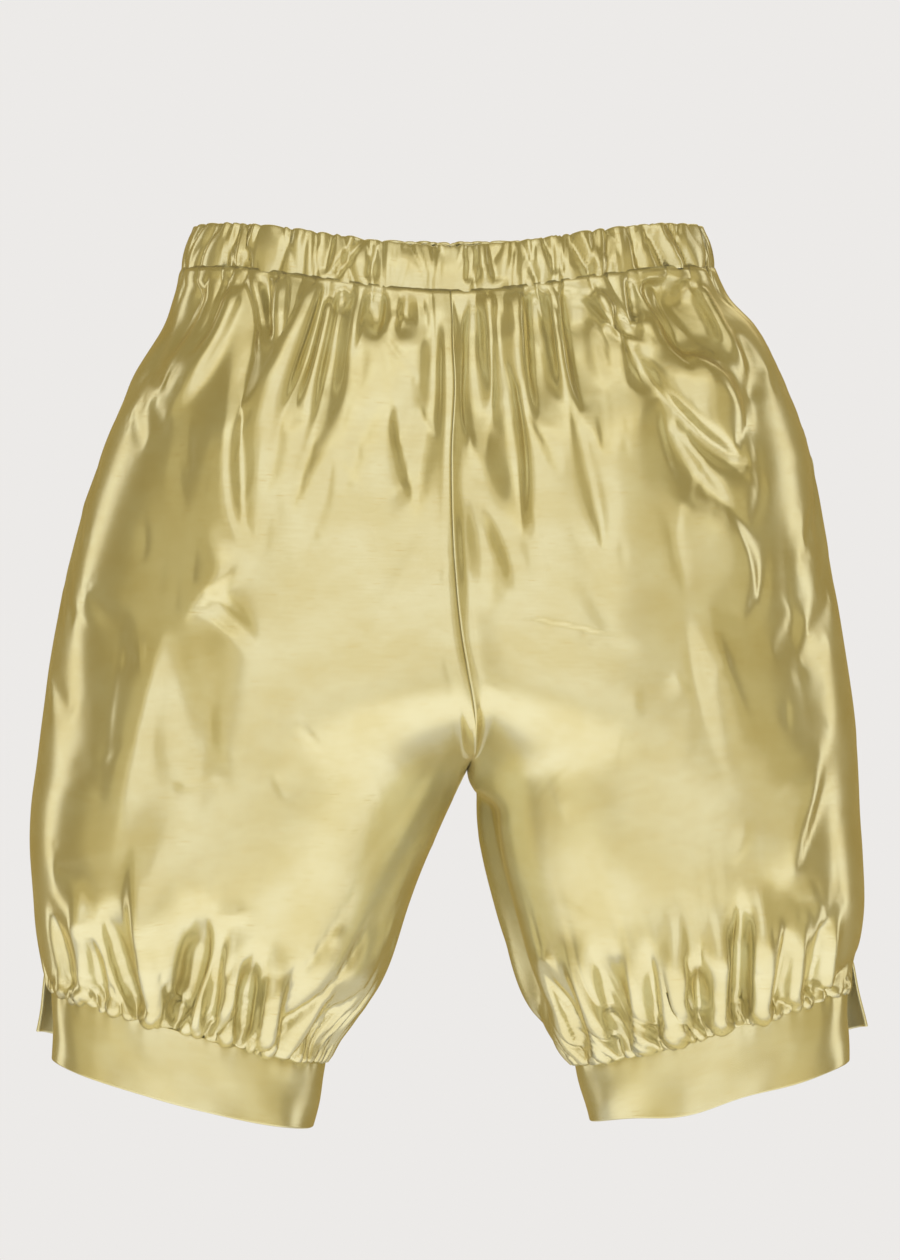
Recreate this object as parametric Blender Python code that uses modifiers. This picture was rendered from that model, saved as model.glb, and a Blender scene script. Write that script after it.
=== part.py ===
"""Child's knee breeches in gold silk dupion, filled out as if worn, hanging from the waist.

The maker's pieces are two fronts, two backs, an elasticated waist casing and two knee bands,
each open at the outer side. Front is -Y, up is +Z, and X- is the wearer's right leg. The origin
is the middle of the waist opening, half way up the casing. All sizes below are in millimetres.
"""

from collections import namedtuple

import bmesh
import bpy
import numpy as np

TO_METRES = 0.001

# Walls and seams
CLOTH_WALL = 1.2
CASING_WALL = 1.3
BAND_WALL = 1.3
SEAM_GAP = 0.3
CROSS_SEAM_GAP = 0.6
SEAM_HOLD = 12.0
SEAM_DIP = 0.7
SEAM_DIP_WIDTH = 2.0
SEAM_COLUMN = 1.8

# Waist casing
CASING_HEIGHT = 20.0
CASING_SIDE_DROP = 1.8
CASING_TAPER = 5.0
WAIST_GATHERS = 14
WAIST_GATHER_DEPTH = 1.5
WAIST_GATHER_REACH = 17.0
TOP_FRILL = 0.9

# Knee bands
BAND_GATHERS = 30
BAND_GATHER_DEPTH = 0.75
BAND_GATHER_REACH = 14.0
BAND_SEAM_GATHER = 0.3
HEM_FLARE = 6.0
HEM_FRONT_DROP = 1.6
HEM_WAVE = 1.5
SLIT_START = 12.0
BACK_RISE_START = 9.0
SLIT_FRONT_LAP = 9.0
SLIT_BACK_LAP = 15.0
SLIT_BACK_RISE = 9.5
SLIT_BACK_OUT = 4.5

# One row for each level, from the waist seam down to the knee band seam. side_z is the height at
# the side seam, right_side and left_side the distance of the two side seams from the middle,
# front_z and back_z the height at the centre or inside leg seam, right_inner and left_inner where
# that seam lies across, front and back the depth of the cloth before and behind the side seam,
# front_turn and back_turn how far the section turns in half circles (0.5 ends square at the
# centre seam, 1 comes right round to the inside leg seam), inseam_y how far behind the side seam
# the inside leg seam lies, and square how boxy the section is (2 is an ellipse).
Level = namedtuple(
    "Level",
    "side_z right_side left_side front_z back_z right_inner left_inner "
    "front back front_turn back_turn inseam_y square",
)
LEVELS = [
    Level(-10, 117.5, 118.8, -22.8, -13.5, 1.5, 1.5, 57, 55, 0.50, 0.50, 0, 2.2),
    Level(-22, 121.3, 125.3, -34, -25, 2.2, 2.2, 62, 62, 0.50, 0.50, 0, 2.2),
    Level(-35, 126.0, 137.3, -46, -38, 2.4, 2.4, 67, 69, 0.505, 0.505, 0, 2.25),
    Level(-55, 137.9, 148.0, -65, -58, 3.3, 3.0, 73, 78, 0.51, 0.515, 0, 2.3),
    Level(-88, 152.0, 160.4, -96, -91, 1.8, 1.8, 80, 88, 0.515, 0.53, 0, 2.4),
    Level(-128, 164.4, 168.0, -134, -130, 2.7, 2.7, 84, 93, 0.525, 0.56, 0, 2.4),
    Level(-168, 173.3, 174.7, -170, -168, 6.0, 6.0, 84, 92, 0.55, 0.61, 0, 2.4),
    Level(-205, 178.8, 180.2, -202, -202, 11.5, 11.5, 82, 88, 0.60, 0.70, 0, 2.45),
    Level(-228, 181.5, 181.6, -222, -222, 12.5, 12.5, 80, 83, 0.73, 0.82, 2, 2.45),
    Level(-248, 184.0, 182.2, -231, -231, 9.0, 9.0, 78, 79, 1.0, 1.0, 6, 2.45),
    Level(-268, 184.3, 183.6, -262, -262, -6.4, 12.5, 76, 76, 1.0, 1.0, 12, 2.45),
    Level(-290, 182.1, 184.4, -292, -292, -18.0, 20.6, 71, 70, 1.0, 1.0, 14, 2.4),
    Level(-306, 180.3, 182.5, -318, -318, -26.3, 27.5, 64, 62, 1.0, 1.0, 11, 2.35),
    Level(-317, 177.8, 179.3, -338, -338, -37.5, 36.0, 55, 52, 1.0, 1.0, 6, 2.3),
    Level(-322, 175.5, 177.3, -351, -351, -47.5, 47.0, 48, 44, 1.0, 1.0, 2, 2.2),
    Level(-326, 173.5, 176.0, -360, -360, -55.1, 58.0, 42, 37, 1.0, 1.0, 0, 2.15),
]
WAIST_SEAM = 0.0
CROTCH = 9.0
BAND_SEAM = float(len(LEVELS) - 1)

# The largest folds, as seen from the front: a straight run from one point to another, half width
# at each end and height at each end, outwards if positive.
Fold = namedtuple("Fold", "x z end_x end_z width end_width height end_height")
FRONT_FOLDS = [
    Fold(-103, -23, -133, -83, 7, 10, 4.5, 3.0),
    Fold(-84, -40, -140, -98, 8, 9, -5.0, -4.0),
    Fold(-53, -22, -68, -62, 5, 8, -7.0, -2.0),
    Fold(-43, -24, -53, -72, 5, 9, -6.0, -1.5),
    Fold(-23, -66, -6, -126, 6, 8, -4.0, -2.0),
    Fold(-112, -152, -79, -186, 6, 7, -3.0, -1.0),
    Fold(-125, -177, -141, -262, 12, 10, 4.0, 2.5),
    Fold(-133, -172, -150, -254, 9, 9, -3.0, -2.5),
    Fold(-7, -174, -33, -204, 9, 9, -2.0, -2.0),
    Fold(-153, -266, -151, -322, 7, 4, -4.5, -3.0),
    Fold(-139, -275, -134, -330, 8, 5, 4.0, 3.0),
    Fold(-113, -274, -122, -336, 9, 5, -5.5, -4.0),
    Fold(-96, -292, -117, -337, 5, 4, 4.0, 4.0),
    Fold(-95, -300, -102, -340, 5, 4, -4.0, -4.0),
    Fold(-82, -312, -87, -347, 5, 4, -4.0, -4.0),
    Fold(9, -27, 7, -96, 5, 6, -4.5, -3.0),
    Fold(19, -26, 16, -100, 5, 6, -4.5, -3.0),
    Fold(30, -36, 31, -100, 6, 7, 4.0, 2.0),
    Fold(37, -23, 42, -90, 5, 8, -6.0, -2.0),
    Fold(52, -23, 65, -73, 5, 7, -6.0, -2.0),
    Fold(60, -27, 76, -96, 5, 9, 4.0, 3.0),
    Fold(70, -36, 88, -68, 7, 8, -5.0, -5.0),
    Fold(88, -68, 134, -97, 8, 8, -5.0, -4.5),
    Fold(104, -47, 128, -86, 11, 12, 6.0, 6.0),
    Fold(90, -20, 105, -41, 5, 7, -6.0, -3.0),
    Fold(55, -138, 83, -132, 12, 12, -2.0, -2.0),
    Fold(113, -118, 141, -160, 7, 8, 4.0, 4.0),
    Fold(113, -167, 138, -219, 7, 7, 4.0, 4.0),
    Fold(105, -172, 127, -224, 8, 8, -2.5, -2.5),
    Fold(165, -230, 146, -282, 7, 7, 2.5, 2.5),
    Fold(125, -270, 124, -340, 4, 4, -4.0, -4.0),
    Fold(55, -304, 70, -341, 9, 5, 4.0, 4.0),
    Fold(61, -288, 96, -344, 8, 5, -5.5, -4.5),
    Fold(114, -306, 122, -337, 5, 5, -4.0, -4.0),
    Fold(165, -290, 160, -326, 5, 4, -4.0, -4.0),
]
BACK_FOLDS = [
    Fold(-100, -15, -132, -78, 7, 10, -5.0, -3.0),
    Fold(-80, -16, -104, -92, 6, 10, 4.5, 2.0),
    Fold(-60, -16, -72, -80, 6, 9, -6.0, -2.0),
    Fold(-34, -16, -38, -96, 6, 9, 4.5, 2.0),
    Fold(-16, -16, -18, -84, 5, 8, -5.0, -2.0),
    Fold(20, -16, 24, -88, 5, 8, -5.0, -2.0),
    Fold(42, -16, 56, -92, 6, 9, 4.5, 2.0),
    Fold(70, -16, 92, -76, 6, 9, -6.0, -2.0),
    Fold(96, -16, 130, -88, 7, 10, 4.5, 3.0),
    Fold(-120, -150, -76, -186, 9, 9, -4.0, -2.0),
    Fold(118, -146, 70, -190, 9, 9, -4.0, -2.0),
    Fold(-146, -196, -150, -262, 10, 9, 4.0, 2.5),
    Fold(146, -200, 150, -262, 10, 9, 4.0, 2.5),
    Fold(-150, -270, -150, -318, 7, 4, -4.5, -3.0),
    Fold(-128, -274, -132, -328, 8, 5, 4.0, 3.0),
    Fold(-104, -272, -112, -336, 8, 5, -5.0, -4.0),
    Fold(-82, -290, -90, -342, 6, 4, 4.0, 3.0),
    Fold(-62, -300, -74, -348, 6, 4, -4.5, -4.0),
    Fold(66, -300, 78, -348, 6, 4, -4.5, -4.0),
    Fold(86, -288, 94, -342, 6, 4, 4.0, 3.0),
    Fold(108, -272, 116, -336, 8, 5, -5.0, -4.0),
    Fold(132, -274, 136, -328, 8, 5, 4.0, 3.0),
    Fold(154, -270, 154, -318, 7, 4, -4.5, -3.0),
]

# Rows of each panel: how far down the panel (in levels), and the columns across it. Rows marked
# with a gather count have two columns for each gather, one on its crest and one in its hollow.
BODY_COLUMNS = 22
BAND_COLUMNS = 24
WAIST_ROWS = [(0.0, "waist"), (0.7, "waist"), (1.4, 32), (2.1, 28)]
BODY_ROWS = [2.8, 3.5, 4.2, 4.9, 5.6, 6.4, 7.2, 7.9, 8.5, 9.0, 9.7, 10.5, 11.3]
BAND_ROWS = [(12.1, 26), (12.9, 34), (13.8, "band"), (15.0, "band")]

GOLD = (0.62, 0.53, 0.24, 1.0)
SHADE_GOLD = (0.55, 0.46, 0.19, 1.0)

Panel = namedtuple("Panel", "name side face")
Band = namedtuple("Band", "name side outer_height inner_height end_out end_rise")
RIGHT, LEFT = -1, 1
FRONT, BACK = -1, 1
PANELS = [
    Panel("front_right", RIGHT, FRONT),
    Panel("front_left", LEFT, FRONT),
    Panel("back_right", RIGHT, BACK),
    Panel("back_left", LEFT, BACK),
]
BANDS = [
    Band("knee_band_right", RIGHT, 32.5, 29.0, 5.0, 0.0),
    Band("knee_band_left", LEFT, 33.0, 26.0, 5.5, 3.0),
]


def clear_scene():
    """Removes whatever the scene holds."""
    for thing in list(bpy.data.objects):
        bpy.data.objects.remove(thing)


def smooth(value):
    """An S curve from 0 to 1."""
    value = np.clip(value, 0.0, 1.0)
    return value * value * (3.0 - 2.0 * value)


def level_at(place):
    """The level at a fractional place in the table, on a smooth curve through its rows."""
    rows = np.array(LEVELS, float)
    place = min(max(place, 0.0), len(rows) - 1.0)
    first = min(int(place), len(rows) - 2)
    part = place - first
    before = rows[max(first - 1, 0)]
    here, after = rows[first], rows[first + 1]
    beyond = rows[min(first + 2, len(rows) - 1)]
    leave, arrive = (after - before) / 2, (beyond - here) / 2
    square, cube = part * part, part**3
    values = (
        (2 * cube - 3 * square + 1) * here
        + (cube - 2 * square + part) * leave
        + (3 * square - 2 * cube) * after
        + (cube - square) * arrive
    )
    return Level(*values)


def inner_across(panel, place):
    """Where a panel's inner edge lies across: shared above the crotch, its own below it."""
    level = level_at(place)
    if place <= CROTCH:
        return (level.right_inner + level.left_inner) / 2
    return level.right_inner if panel.side == RIGHT else level.left_inner


def section(panel, place, across):
    """Points of a panel's smooth section, spaced by arc length from side seam to inner seam."""
    level = level_at(place)
    side_x = panel.side * (level.right_side if panel.side == RIGHT else level.left_side)
    inner_x = inner_across(panel, place) + panel.side * SEAM_GAP / 2
    is_front = panel.face == FRONT
    depth = level.front if is_front else level.back
    turn = level.front_turn if is_front else level.back_turn
    inner_z = level.front_z if is_front else level.back_z

    open_slit = smooth((place - SLIT_START) / (BAND_SEAM - SLIT_START))
    lap = (SLIT_FRONT_LAP if is_front else SLIT_BACK_LAP) * open_slit
    rise = smooth((place - BACK_RISE_START) / (BAND_SEAM - BACK_RISE_START))
    side_z = level.side_z + (0.0 if is_front else SLIT_BACK_RISE * rise)
    side_x += panel.side * (0.0 if is_front else SLIT_BACK_OUT * open_slit)

    angle = np.linspace(0.0, min(turn, 1.0) * np.pi, 241)
    power = 2.0 / level.square
    over = np.sign(np.cos(angle)) * np.abs(np.cos(angle)) ** power
    out = np.abs(np.sin(angle)) ** power
    share = (1.0 - over) / (1.0 - over[-1])
    rounded = np.clip(2.0 - 2.0 * turn, 0.0, 1.0)
    fall = share + (smooth(share) - share) * rounded
    x = side_x + (inner_x - side_x) * share
    y = panel.face * (SEAM_GAP / 2 + depth * out + lap * (1.0 - share) ** 4)
    y = y + level.inseam_y * share**2
    z = side_z + (inner_z - side_z) * fall
    if is_front:
        z = z - HEM_FRONT_DROP * open_slit * out
    points = np.stack([x, y, z], axis=1)
    steps = np.linalg.norm(np.diff(points, axis=0), axis=1)
    run = np.concatenate([[0.0], np.cumsum(steps)])
    wanted = np.asarray(across, float) * run[-1]
    return np.stack([np.interp(wanted, run, points[:, k]) for k in range(3)], axis=1)


def outward(panel, place, across):
    """Unit normals of the smooth panel, pointing out of the garment."""
    step = 0.02
    low, high = np.clip(across - step, 0, 1), np.clip(across + step, 0, 1)
    along = section(panel, place, high) - section(panel, place, low)
    up, down = max(place - 0.1, 0.0), min(place + 0.1, BAND_SEAM)
    drop = section(panel, down, across) - section(panel, up, across)
    normal = np.cross(along, drop) * -(panel.side * panel.face)
    return normal / np.linalg.norm(normal, axis=1, keepdims=True)


def uneven(across, count, seed):
    """Gather number along a seam: it grows from 0 to count, faster in some places than others."""
    wander = np.sin(2 * np.pi * (2.3 * across + 0.17 * seed)) * 0.35
    wander += np.sin(2 * np.pi * (5.1 * across + 0.31 * seed)) * 0.22
    ends = np.sin(np.pi * np.clip(across, 0, 1))
    return count * across + wander * ends


def panel_seed(panel):
    """A small number that makes each panel's gathers its own."""
    return 1.0 + (panel.side + 1) + 0.5 * (panel.face + 1)


def gather_columns(count, seed, parts=2):
    """Places across a panel that fall on the crests and hollows of its gathers."""
    fine = np.linspace(0.0, 1.0, 2001)
    numbers = uneven(fine, count, seed)
    return np.interp(np.arange(parts * count + 1) / parts, numbers, fine)


def gather_height(across, count, seed, depth):
    """Height of the gathers along a seam, as a soft uneven wave."""
    numbers = uneven(across, count, seed)
    strength = 0.78 + 0.22 * np.sin(2.1 * numbers + seed)
    return -depth * strength * np.cos(2 * np.pi * numbers)


def distance_to_fold(points, fold):
    """Distance from the fold's line in the front view, and how far along it each point lies."""
    start = np.array([fold.x, fold.z], float)
    run = np.array([fold.end_x, fold.end_z], float) - start
    seen = points[:, [0, 2]] - start
    along = np.clip(seen @ run / (run @ run), 0.0, 1.0)
    return np.linalg.norm(seen - along[:, None] * run, axis=1), along


def fold_height(panel, points):
    """Sum of the large folds that cross these points."""
    folds = FRONT_FOLDS if panel.face == FRONT else BACK_FOLDS
    total = np.zeros(len(points))
    for fold in folds:
        away, along = distance_to_fold(points, fold)
        width = fold.width + (fold.end_width - fold.width) * along
        height = fold.height + (fold.end_height - fold.height) * along
        total += height * np.exp(-((away / width) ** 2))
    return total


def panel_row(panel, place, across):
    """One row of a finished panel: its smooth section, moved out by folds and gathers."""
    points = section(panel, place, across)
    length = np.linalg.norm(np.diff(points, axis=0), axis=1).sum()
    seed = panel_seed(panel)
    below_waist = abs(level_at(place).side_z - LEVELS[0].side_z)
    above_band = 2.0 * abs(level_at(place).side_z - LEVELS[-1].side_z)
    height = fold_height(panel, points) * smooth(below_waist / 10.0)
    height = height * smooth(above_band / 8.0 + 0.2)
    waist = gather_height(across, WAIST_GATHERS, seed, WAIST_GATHER_DEPTH)
    band = gather_height(across, BAND_GATHERS, seed, BAND_GATHER_DEPTH)
    height += waist * np.exp(-below_waist / WAIST_GATHER_REACH)
    near_band = np.exp(-((above_band / BAND_GATHER_REACH) ** 2))
    height += band * near_band * (BAND_SEAM_GATHER + smooth(above_band / 6.0))
    edge = np.minimum(across, 1.0 - across) * length
    height *= smooth(edge / SEAM_HOLD)
    height -= SEAM_DIP * np.exp(-edge / SEAM_DIP_WIDTH)
    return points + outward(panel, place, across) * height[:, None]


def zip_rows(mesh, upper, lower, flip):
    """Joins two rows of vertices, of unlike counts, with a strip of triangles."""
    a = b = 0
    while a < len(upper) - 1 or b < len(lower) - 1:
        next_a = (a + 1) / (len(upper) - 1) if a < len(upper) - 1 else 2.0
        next_b = (b + 1) / (len(lower) - 1) if b < len(lower) - 1 else 2.0
        if next_a <= next_b:
            corners = [upper[a], lower[b], upper[a + 1]]
            a += 1
        else:
            corners = [upper[a], lower[b], lower[b + 1]]
            b += 1
        mesh.faces.new(corners[::-1] if flip else corners)


def surface_from_rows(name, rows, flip, closed=False):
    """A mesh object whose surface runs through the rows, each an array of points."""
    mesh = bmesh.new()
    made = [[mesh.verts.new(point * TO_METRES) for point in row] for row in rows]
    for upper, lower in zip(made[:-1], made[1:]):
        if closed:
            zip_rows(mesh, [*upper, upper[0]], [*lower, lower[0]], flip)
        else:
            zip_rows(mesh, upper, lower, flip)
    data = bpy.data.meshes.new(name)
    mesh.to_mesh(data)
    mesh.free()
    data.shade_smooth()
    return bpy.data.objects.new(name, data)


def give_wall(thing, thickness):
    """Thickens the open surface inwards."""
    wall = thing.modifiers.new("Cloth wall", "SOLIDIFY")
    wall.thickness = thickness * TO_METRES
    wall.offset = -1.0
    wall.use_rim = True


def row_columns(panel, count):
    """Places across a panel for a row: gather crests and hollows, or an even spacing."""
    if count == "waist":
        return gather_columns(WAIST_GATHERS, panel_seed(panel), 4)
    if count == "band":
        return gather_columns(BAND_GATHERS, panel_seed(panel))
    beside_seam = SEAM_COLUMN / 170.0
    even = np.linspace(0.0, 1.0, count + 1)
    return np.array([0.0, beside_seam, *even[1:-1], 1.0 - beside_seam, 1.0])


def make_panel(panel):
    """A front or back, from the waist seam to the knee band seam."""
    plan = [*WAIST_ROWS, *((place, BODY_COLUMNS) for place in BODY_ROWS), *BAND_ROWS]
    rows = [panel_row(panel, place, row_columns(panel, count)) for place, count in plan]
    thing = surface_from_rows(panel.name, rows, flip=panel.side * panel.face < 0)
    give_wall(thing, CLOTH_WALL)
    return thing


def make_casing():
    """The waist casing: a gathered ring that stands on the top edges of the four panels."""
    order = [(PANELS[0], False), (PANELS[1], True), (PANELS[3], False), (PANELS[2], True)]
    rows = []
    for share in (0.0, 0.5, 1.0):
        ring = []
        for panel, reverse in order:
            seed = panel_seed(panel)
            across = gather_columns(WAIST_GATHERS, seed, 4)
            points = panel_row(panel, WAIST_SEAM, across)
            wave = gather_height(across, WAIST_GATHERS, seed, WAIST_GATHER_DEPTH)
            hold = smooth(np.minimum(across, 1 - across) * len(across) / 5.0)
            swell = 0.25 * np.sin(np.pi * share)
            out = wave * hold * swell - CASING_TAPER * share**1.5
            facing = outward(panel, WAIST_SEAM, across)
            facing[:, 2] = 0.0
            points = points + facing * out[:, None]
            points[:, 2] += CROSS_SEAM_GAP + CASING_HEIGHT * share
            points[:, 2] += TOP_FRILL * share * wave / WAIST_GATHER_DEPTH
            points[:, 2] -= CASING_SIDE_DROP * share * (1.0 - across) ** 4
            if reverse:
                points = points[::-1]
            ring.append(points[:-1])
        rows.append(np.concatenate(ring))
    thing = surface_from_rows("waist_casing", rows[::-1], flip=False, closed=True)
    give_wall(thing, CASING_WALL)
    return thing


def make_band(band):
    """A knee band: a strip round the knee, open at the outer side, its back end turned out."""
    front = next(p for p in PANELS if p.side == band.side and p.face == FRONT)
    back = next(p for p in PANELS if p.side == band.side and p.face == BACK)
    seam_row = np.concatenate(
        [
            panel_row(front, BAND_SEAM, row_columns(front, "band")),
            panel_row(back, BAND_SEAM, row_columns(back, "band"))[::-1],
        ]
    )
    seam_row[:, 2] -= CROSS_SEAM_GAP
    across = np.linspace(0.0, 1.0, BAND_COLUMNS + 1)
    path = np.concatenate(
        [section(front, BAND_SEAM, across), section(back, BAND_SEAM, across)[::-1][1:]]
    )
    run = np.linspace(0.0, 1.0, len(path))
    inner = np.sin(np.pi * run) ** 2
    back_end = smooth((run - 0.8) / 0.2)
    height = band.outer_height + (band.inner_height - band.outer_height) * inner**2
    height -= band.end_rise * back_end
    rows = [seam_row]
    for share in (0.33, 0.67, 1.0):
        row = path.copy()
        row[:, 0] += band.side * share * (HEM_FLARE * inner + band.end_out * back_end)
        row[:, 1] *= 1.0 - 0.05 * share
        row[:, 1] += HEM_WAVE * share * np.sin(2 * np.pi * (2.5 * run + 0.2 * band.side))
        row[:, 2] -= CROSS_SEAM_GAP + height * share
        rows.append(row)
    thing = surface_from_rows(band.name, rows, flip=band.side > 0)
    give_wall(thing, BAND_WALL)
    return thing


def silk(name, colour, roughness):
    """Plain cloth material."""
    material = bpy.data.materials.new(name)
    material.use_nodes = True
    shader = material.node_tree.nodes["Principled BSDF"]
    shader.inputs["Base Color"].default_value = colour
    shader.inputs["Roughness"].default_value = roughness
    shader.inputs["Metallic"].default_value = 0.3
    return material


def main():
    clear_scene()
    breeches = bpy.data.collections.new("Knee breeches")
    bpy.context.scene.collection.children.link(breeches)
    pieces = [make_panel(panel) for panel in PANELS]
    pieces.append(make_casing())
    pieces += [make_band(band) for band in BANDS]
    for piece in pieces:
        shade = GOLD if piece.name.startswith("front") else SHADE_GOLD
        piece.data.materials.append(silk(piece.name + " silk", shade, 0.4))
        breeches.objects.link(piece)


main()
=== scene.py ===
"""Looks of a child's knee breeches in pale gold silk dupion, filled out and held at the waist.

Tables are in millimetres in the frame of the part: X- is the wearer's right leg, Y- the front
and Z up, with the origin in the middle of the waist opening. Each front and back starts on the
same form as its solid, larger listed folds are laid in, and the flat cut is then draped
between its seams, so that the spare width gathered into the waist and knee bands buckles.
"""

from __future__ import annotations

import logging
import math
from dataclasses import dataclass, field
from enum import Enum

import bmesh
import bpy
import numpy as np
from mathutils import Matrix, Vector

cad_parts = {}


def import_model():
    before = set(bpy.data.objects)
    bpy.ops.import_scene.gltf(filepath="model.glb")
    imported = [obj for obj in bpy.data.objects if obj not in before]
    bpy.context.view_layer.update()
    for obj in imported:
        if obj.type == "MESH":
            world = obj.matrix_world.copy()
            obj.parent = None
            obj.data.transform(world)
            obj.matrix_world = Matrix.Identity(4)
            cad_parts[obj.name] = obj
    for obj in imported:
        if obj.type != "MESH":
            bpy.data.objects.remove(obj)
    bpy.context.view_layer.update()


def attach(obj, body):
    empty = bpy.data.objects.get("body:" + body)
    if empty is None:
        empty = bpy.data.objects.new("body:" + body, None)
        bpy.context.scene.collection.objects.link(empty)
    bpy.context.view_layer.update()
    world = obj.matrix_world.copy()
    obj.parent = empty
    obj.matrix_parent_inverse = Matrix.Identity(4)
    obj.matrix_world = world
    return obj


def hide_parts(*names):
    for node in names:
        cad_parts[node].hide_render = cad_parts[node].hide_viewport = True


log = logging.getLogger("breeches")

MM = 0.001
PHOTO_WIDTH, PHOTO_HEIGHT = 900, 1260

Array = np.ndarray
Socket = bpy.types.NodeSocket
Thing = bpy.types.Object
Triple = tuple[float, float, float]
Colour = tuple[float, float, float, float]


class Side(Enum):
    """The wearer's side, with the sign of X there."""

    RIGHT = -1
    LEFT = 1


class Face(Enum):
    """Front or back of the garment, with the sign of Y there."""

    FRONT = -1
    BACK = 1


@dataclass(frozen=True)
class Level:
    """One level of the form: heights, half widths, depths and turn of its sections.

    side_z is the height at the side seam and the two sides their distance from the middle.
    front_z and back_z are the height at the centre or inside leg seam, right_inner and
    left_inner where it lies across. front and back are the depths, front_turn and back_turn how
    far a section turns in half circles, inseam_y how far back the inside leg seam lies, and
    square how boxy the section is.
    """

    side_z: float
    right_side: float
    left_side: float
    front_z: float
    back_z: float
    right_inner: float
    left_inner: float
    front: float
    back: float
    front_turn: float
    back_turn: float
    inseam_y: float
    square: float


LEVELS = (
    Level(-10, 117.5, 118.8, -22.8, -13.5, 1.5, 1.5, 57, 55, 0.5, 0.5, 0, 2.2),
    Level(-22, 121.3, 125.3, -34, -25, 2.2, 2.2, 62, 62, 0.5, 0.5, 0, 2.2),
    Level(-35, 126, 137.3, -46, -38, 2.4, 2.4, 67, 69, 0.505, 0.505, 0, 2.25),
    Level(-55, 137.9, 148, -65, -58, 3.3, 3, 73, 78, 0.51, 0.515, 0, 2.3),
    Level(-88, 152, 160.4, -96, -91, 1.8, 1.8, 80, 88, 0.515, 0.53, 0, 2.4),
    Level(-128, 164.4, 168, -134, -130, 2.7, 2.7, 84, 93, 0.525, 0.56, 0, 2.4),
    Level(-168, 173.3, 174.7, -170, -168, 6, 6, 84, 92, 0.55, 0.61, 0, 2.4),
    Level(-205, 178.8, 180.2, -202, -202, 11.5, 11.5, 82, 88, 0.6, 0.7, 0, 2.45),
    Level(-228, 181.5, 181.6, -222, -222, 12.5, 12.5, 80, 83, 0.73, 0.82, 2, 2.45),
    Level(-248, 184, 182.2, -231, -231, 9, 9, 78, 79, 1, 1, 6, 2.45),
    Level(-268, 184.3, 183.6, -262, -262, -6.4, 12.5, 76, 76, 1, 1, 12, 2.45),
    Level(-290, 182.1, 184.4, -292, -292, -18, 20.6, 71, 70, 1, 1, 14, 2.4),
    Level(-306, 180.3, 182.5, -318, -318, -26.3, 27.5, 64, 62, 1, 1, 11, 2.35),
    Level(-317, 177.8, 179.3, -338, -338, -37.5, 36, 55, 52, 1, 1, 6, 2.3),
    Level(-322, 175.5, 177.3, -351, -351, -47.5, 47, 48, 44, 1, 1, 2, 2.2),
    Level(-326, 173.5, 176, -360, -360, -55.1, 58, 42, 37, 1, 1, 0, 2.15),
)


def smooth(value: Array | float) -> Array:
    """Eases a value, clipped to 0 to 1, along an S curve."""
    value = np.clip(value, 0.0, 1.0)
    return value * value * (3.0 - 2.0 * value)


def bell(distance: Array | float, width: Array | float) -> Array:
    """A bell curve: 1 in the middle, and about a third at one width from it."""
    return np.exp(-((distance / width) ** 2))


def curve_at(near: list[Array], part: Array | float) -> Array:
    """Reads a smooth curve through four neighbours, between the middle two.

    Args:
        near: The four neighbours.
        part: How far from the second to the third, 0 to 1.

    Returns:
        The values there.
    """
    before, here, after, beyond = near
    leave, arrive = (after - before) / 2, (beyond - here) / 2
    square, cube = part * part, part**3
    values = (2 * cube - 3 * square + 1) * here + (cube - 2 * square + part) * leave
    return values + (3 * square - 2 * cube) * after + (cube - square) * arrive


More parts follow.
